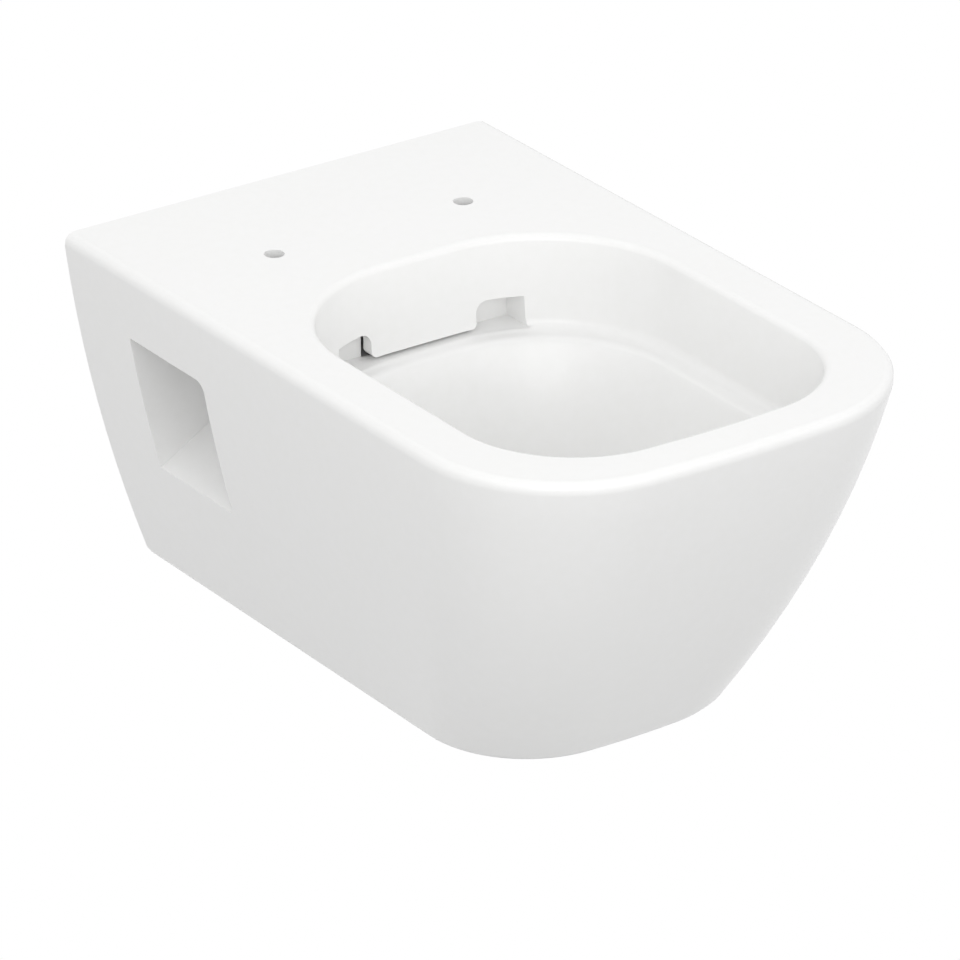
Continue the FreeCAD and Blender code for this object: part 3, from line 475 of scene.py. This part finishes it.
@dataclass
class WallFixing:
    """A stud with its sleeve, washer, nut and cap, on one side of the pan."""

    side: Side
    pitch: float = 0.00175
    thread_depth: float = 0.0008
    wall_thread: float = 0.060
    nut_thread: float = 0.035
    shank_radius: float = 0.005
    end_margin: float = 0.002
    lead: float = 0.001
    clearance: float = 0.0003
    sleeve_radius: float = 0.010
    sleeve_flange: float = 0.0025
    nut_bore: float = 0.0061
    nut_columns: int = 72
    nut_chamfer: float = math.radians(30)
    nut_face_share: float = 0.97
    cap_wall: float = 0.002
    cap_round: float = 0.003
    soft_edge: float = 0.0003
    soft_steps: int = 3
    cap_round_steps: int = 6
    stud_steps: int = 40
    ring_steps: int = 80
    cap_steps: int = 96
    stud_sharp_from: float = 35.0
    nut_sharp_from: float = 25.0
    body: str = "pan"
    tree: bpy.types.GeometryNodeTree | None = field(default=None, repr=False)

    def __post_init__(self) -> None:
        """Read the axis from the stud's own place in the frame."""
        low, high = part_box(self._node("stud"))
        self.axis = ((low.x + high.x) / 2, (low.z + high.z) / 2)

    def _node(self, kind: str) -> str:
        """The node's name for a kind of piece on this side."""
        return f"{kind}_{self.side.suffix}"

    def build(self) -> None:
        """Build every piece of this side's fixing."""
        self._stud()
        self._ring("sleeve", SLEEVE)
        self._ring("washer", ZINC)
        self._nut()
        self._cap()

    def _stud(self) -> None:
        """The stud: a thread for the nut, a plain shank and a thread for the wall frame."""
        node = self._node("stud")
        low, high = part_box(node)
        core = (high.x - low.x) / 2 - self.thread_depth
        front, rear = low.y + self.nut_thread, high.y - self.wall_thread
        margin = self.end_margin
        shape = bmesh.new()
        for start, length in ((low.y + margin, self.nut_thread - 2 * margin),
                              (rear + margin, self.wall_thread - 2 * margin)):
            thread = self._thread(start, length, core)
            shape.from_mesh(thread)
            bpy.data.meshes.remove(thread)
        tip, lead = core - self.thread_depth, self.lead
        rod = turned("rod", self.axis, [
            (0.0, low.y), (tip, low.y), (core, low.y + lead), (core, front - lead),
            (self.shank_radius, front),
            (self.shank_radius, rear), (core, rear + lead), (core, high.y - lead), (tip, high.y),
            (0.0, high.y)], self.stud_steps)
        shape.from_mesh(rod)
        bpy.data.meshes.remove(rod)
        mesh = merged(node, shape, self.stud_sharp_from)
        settle(new_piece(f"threaded_{node}", mesh, ZINC), self.body, node)

    def _thread(self, start: float, length: float, core: float) -> bpy.types.Mesh:
        """Make one thread's ridge round the stud.

        Args:
            start: Its front end in Y.
            length: Its length.
            core: The radius at the bottom of the thread.

        Returns:
            The thread's mesh, laid along Y.
        """
        carrier = bpy.data.objects.new("thread_carrier", bpy.data.meshes.new("thread_carrier"))
        bpy.context.scene.collection.objects.link(carrier)
        modifier = carrier.modifiers.new("thread", "NODES")
        modifier.node_group = self.tree
        values = {"Length": length, "Core Radius": core, "Pitch": self.pitch, "Depth": self.thread_depth}
        for item in self.tree.interface.items_tree:
            if item.in_out == "INPUT":
                modifier[item.identifier] = values[item.name]
        apply_modifiers(carrier)
        mesh = carrier.data
        for vertex in mesh.vertices:
            x, y, z = vertex.co
            vertex.co = (self.axis[0] + x, start + z, self.axis[1] - y)
        bpy.data.objects.remove(carrier)
        return mesh

    def _ring(self, kind: str, finish: Finish) -> None:
        """A bored piece whose section fits its node's box, with rounded edges.

        Args:
            kind: The kind of piece, sleeve or washer.
            finish: Its finish.
        """
        node = self._node(kind)
        low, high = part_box(node)
        outer = (high.x - low.x) / 2
        stud_low, stud_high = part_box(self._node("stud"))
        bore = (stud_high.x - stud_low.x) / 2 + self.clearance
        soft = self.soft_edge
        if kind == "washer":
            corners = [(bore, low.y, soft), (outer, low.y, soft), (outer, high.y, soft),
                       (bore, high.y, soft)]
        else:
            tube, flange = self.sleeve_radius, low.y + self.sleeve_flange
            corners = [(bore, low.y, soft), (outer, low.y, soft), (outer, flange, soft),
                       (tube, flange, soft), (tube, high.y, soft), (bore, high.y, soft)]
        mesh = turned(node, self.axis, rounded(corners, self.soft_steps), self.ring_steps)
        settle(new_piece(f"turned_{node}", mesh, finish), self.body, node)

    def _nut(self) -> None:
        """A hexagon nut whose corners are chamfered at both ends."""
        node = self._node("nut")
        low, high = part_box(node)
        flats = (high.z - low.z) / 2
        bore, face, soft = self.nut_bore, flats * self.nut_face_share, self.soft_edge
        half_side = SIXTH_TURN / 2
        shape = bmesh.new()
        columns = []
        for step in range(self.nut_columns):
            angle = 2 * math.pi * step / self.nut_columns
            turn = (angle + half_side) % SIXTH_TURN - half_side
            # The node's corners lie on X, its flats face Z
            corner = flats / math.cos(half_side - abs(turn))
            fall = (corner - face) * math.tan(self.nut_chamfer)
            section = ((bore, low.y + soft), (bore + soft, low.y), (face, low.y), (corner, low.y + fall),
                       (corner, high.y - fall), (face, high.y), (bore + soft, high.y),
                       (bore, high.y - soft))
            columns.append([shape.verts.new(on_axis(self.axis, radius, along, angle))
                            for radius, along in section])
        close_round(shape, columns)
        bmesh.ops.recalc_face_normals(shape, faces=shape.faces)
        mesh = merged(node, shape, self.nut_sharp_from)
        settle(new_piece(f"hexagon_{node}", mesh, ZINC), self.body, node)

    def _cap(self) -> None:
        """A smooth cup with a rounded end that pulls off the nut."""
        node = self._node("cap")
        low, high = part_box(node)
        outer = (high.x - low.x) / 2
        wall, soft = self.cap_wall, self.soft_edge
        profile = rounded([
            (0.0, low.y, 0), (outer, low.y, self.cap_round), (outer, high.y, soft),
            (outer - wall, high.y, soft), (outer - wall, low.y + wall, self.cap_round - wall),
            (0.0, low.y + wall, 0)], self.cap_round_steps)
        mesh = turned(node, self.axis, profile, self.cap_steps)
        settle(new_piece(f"cup_{node}", mesh, CAP), node, node)


# ---------------------------------------------------------------- the flush parts

@dataclass
class FlushParts:
    """The rubber seal in the inlet socket and the distributor behind the lip."""

    body: str = "pan"
    seal_node: str = "inlet_seal"
    distributor_node: str = "flush_distributor"
    bore: float = 0.0225
    rib: float = 0.0012
    rib_width: float = 0.004
    lead: float = 0.002
    soft_edge: float = 0.0005
    soft_steps: int = 3
    seal_steps: int = 96

    def build(self, frame: dict) -> None:
        """Build the seal and dress the distributor.

        Args:
            frame: The loaded frame.
        """
        low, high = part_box(self.seal_node)
        axis = ((low.x + high.x) / 2, (low.z + high.z) / 2)
        outer = (high.x - low.x) / 2
        groove, slope = outer - self.rib, self.rib_width + self.rib
        section = (
            (self.bore + self.lead, high.y), (outer, high.y), (outer, high.y - self.rib_width),
            (groove, high.y - slope), (groove, low.y + slope), (outer, low.y + self.rib_width),
            (outer, low.y), (self.bore, low.y), (self.bore, high.y - self.lead))
        corners = [(radius, along, self.soft_edge) for radius, along in section]
        mesh = turned("ribbed_seal", axis, rounded(corners, self.soft_steps), self.seal_steps)
        settle(new_piece("ribbed_seal", mesh, RUBBER), self.body, self.seal_node)
        insert = frame["nodes"][self.distributor_node]
        insert.data.materials.clear()
        insert.data.materials.append(DISTRIBUTOR.material())
        log.info("%s dressed", self.distributor_node)


# ---------------------------------------------------------------- studio

def aim(thing: bpy.types.Object, place: Point, target: Point) -> None:
    """Link a lamp or camera to the scene, at a place and looking at a target.

    Args:
        thing: The lamp or camera.
        place: Where it stands.
        target: What it looks at.
    """
    bpy.context.scene.collection.objects.link(thing)
    thing.location = place
    thing.rotation_euler = (Vector(target) - Vector(place)).to_track_quat("-Z", "Y").to_euler()


def direct_sight(nodes: bpy.types.Nodes, links: bpy.types.NodeLinks) -> bpy.types.NodeSocket:
    """Tell rays that look at the surroundings, straight or mirrored, from rays that only light.

    Args:
        nodes: The nodes of the material or world.
        links: Its links.

    Returns:
        A socket that is 1 for a camera, glossy or transmission ray and 0 for the rest.
    """
    rays = nodes.new("ShaderNodeLightPath")
    seen = rays.outputs["Is Camera Ray"]
    for kind in ("Is Glossy Ray", "Is Transmission Ray"):
        either = math_node(nodes, "MAXIMUM")
        links.new(seen, either.inputs[0])
        links.new(rays.outputs[kind], either.inputs[1])
        seen = either.outputs[0]
    return seen


@dataclass
class Softbox:
    """An area light that points at the pan."""

    name: str
    place: Point
    size: float
    power: float
    target: Point = (0.0, -0.25, 0.0)

    def build(self) -> None:
        """Place the light."""
        data = bpy.data.lights.new(self.name, "AREA")
        data.shape = "SQUARE"
        data.size = self.size
        data.energy = self.power
        aim(bpy.data.objects.new(self.name, data), self.place, self.target)


@dataclass
class Studio:
    """A white floor, soft lights and the camera at the photograph's angle."""

    floor_level: float = -0.315
    floor_half: float = 6.0
    floor_tone: float = 0.4
    floor_roughness: float = 0.9
    full_white: float = 1.0
    ambient: float = 0.915
    camera_place: Point = (-2.5967, -3.9305, 2.0997)
    camera_target: Point = (0.0, -0.2402, -0.0541)
    lens: float = 278.55
    sensor: float = 36.0
    sight: float = 50.0
    softboxes: tuple[Softbox, ...] = (
        Softbox("beside_camera", (-1.6, -2.6, 1.3), 1.8, 12.0),
        Softbox("front", (0.0, -3.0, 0.6), 2.2, 9.5),
        Softbox("left_fill", (-2.4, -1.6, 0.8), 1.8, 4.5),
    )

    def build(self) -> None:
        """Build the studio and set the view transform."""
        scene = bpy.context.scene
        scene.view_settings.view_transform = "Standard"
        self._floor()
        self._world()
        for softbox in self.softboxes:
            softbox.build()
        self._camera()

    def _floor(self) -> None:
        """A pale floor under the pan: plain white to the camera, and clear to a camera below it."""
        half, level = self.floor_half, self.floor_level
        mesh = bpy.data.meshes.new("studio_floor")
        corners = [(-half, -half, level), (half, -half, level), (half, half, level), (-half, half, level)]
        mesh.from_pydata(corners, [], [(0, 1, 2, 3)])
        material = bpy.data.materials.new("studio_white")
        material.use_nodes = True
        nodes, links = material.node_tree.nodes, material.node_tree.links
        output, lit = nodes["Material Output"], nodes["Principled BSDF"]
        lit.inputs["Base Color"].default_value = (self.floor_tone,) * 3 + (1.0,)
        lit.inputs["Roughness"].default_value = self.floor_roughness
        plain, clear = nodes.new("ShaderNodeEmission"), nodes.new("ShaderNodeBsdfTransparent")
        facing, side = nodes.new("ShaderNodeNewGeometry"), nodes.new("ShaderNodeMixShader")
        seen = nodes.new("ShaderNodeMixShader")
        plain.inputs["Strength"].default_value = self.full_white
        links.new(direct_sight(nodes, links), seen.inputs["Fac"])
        links.new(lit.outputs["BSDF"], seen.inputs[1])
        links.new(plain.outputs["Emission"], seen.inputs[2])
        links.new(facing.outputs["Backfacing"], side.inputs["Fac"])
        links.new(seen.outputs["Shader"], side.inputs[1])
        links.new(clear.outputs["BSDF"], side.inputs[2])
        links.new(side.outputs["Shader"], output.inputs["Surface"])
        mesh.materials.append(material)
        floor = bpy.data.objects.new("studio_floor", mesh)
        bpy.context.scene.collection.objects.link(floor)

    def _world(self) -> None:
        """White all round: full white where the camera or a reflection looks, softer as light."""
        world = bpy.data.worlds.new("studio_world")
        world.use_nodes = True
        nodes, links = world.node_tree.nodes, world.node_tree.links
        soft, level = nodes["Background"], nodes.new("ShaderNodeMapRange")
        soft.inputs["Color"].default_value = (1.0, 1.0, 1.0, 1.0)
        level.inputs["To Min"].default_value = self.ambient
        level.inputs["To Max"].default_value = self.full_white
        links.new(direct_sight(nodes, links), level.inputs["Value"])
        links.new(level.outputs["Result"], soft.inputs["Strength"])
        bpy.context.scene.world = world

    def _camera(self) -> None:
        """The long-lens camera of the photograph."""
        data = bpy.data.cameras.new("photo_camera")
        data.sensor_width = self.sensor
        data.lens = self.lens
        data.clip_end = self.sight
        camera = bpy.data.objects.new("photo_camera", data)
        aim(camera, self.camera_place, self.camera_target)
        bpy.context.scene.camera = camera


def main() -> None:
    """Build the toilet and its studio."""
    logging.basicConfig(level=logging.INFO, format="%(message)s")
    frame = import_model()
    GlazedPan().build(frame)
    thread = screw_thread_tree(ZINC)
    for side in Side:
        WallFixing(side, tree=thread).build()
    FlushParts().build(frame)
    Studio().build()


if __name__ == "__main__":
    main()
